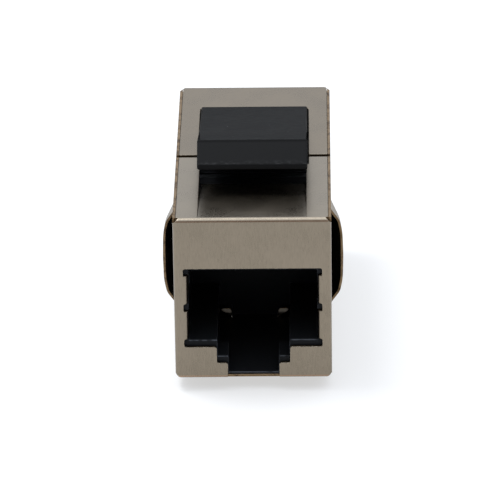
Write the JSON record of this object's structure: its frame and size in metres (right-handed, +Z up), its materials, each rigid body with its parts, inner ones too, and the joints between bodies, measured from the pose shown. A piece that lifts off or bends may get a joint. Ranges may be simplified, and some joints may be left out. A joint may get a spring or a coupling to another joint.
{
  "type": "keystone module",
  "caption": "Shielded feed-through keystone module: folded nickel-plated shells around jack housings with sprung contacts, side ground ears and a black snap latch on top.",
  "frame": {"origin": "under the middle of the body, on the plane of the fixed lip's lowest edge", "axes": "+X across the body, +Y from the front face to the rear, +Z up towards the latch"},
  "size_m": [0.0168, 0.0308, 0.0215],
  "materials": {
    "nickel_sheet": "satin nickel plate",
    "housing_black": "moulded",
    "latch_black": "fine moulded texture",
    "carrier_black": "moulded",
    "contact_gold": "gold flash",
    "board_black": "black solder mask"
  },
  "bodies": {
    "module": {"front_shell": "nickel_sheet", "rear_shell": "nickel_sheet", "front_housing": "housing_black", "rear_housing": "housing_black", "circuit_board": "board_black", "front_contact_1": "contact_gold", "front_contact_2": "contact_gold", "front_contact_3": "contact_gold", "front_contact_4": "contact_gold", "front_contact_5": "contact_gold", "front_contact_6": "contact_gold", "front_contact_7": "contact_gold", "front_contact_8": "contact_gold", "rear_contact_1": "contact_gold", "rear_contact_2": "contact_gold", "rear_contact_3": "contact_gold", "rear_contact_4": "contact_gold", "rear_contact_5": "contact_gold", "rear_contact_6": "contact_gold", "rear_contact_7": "contact_gold", "rear_contact_8": "contact_gold", "front_contact_carrier": "carrier_black", "rear_contact_carrier": "carrier_black"},
    "latch": {"latch": "latch_black"}
  },
  "joints": [
    {"name": "latch_flex", "type": "hinge", "parent": "module", "child": "latch", "pos_m": [0, 0.0106, 0.01655], "axis": [1, 0, 0], "range_deg": [0, 4.2], "stiffness_Nm_per_rad": 0.2}
  ]
}
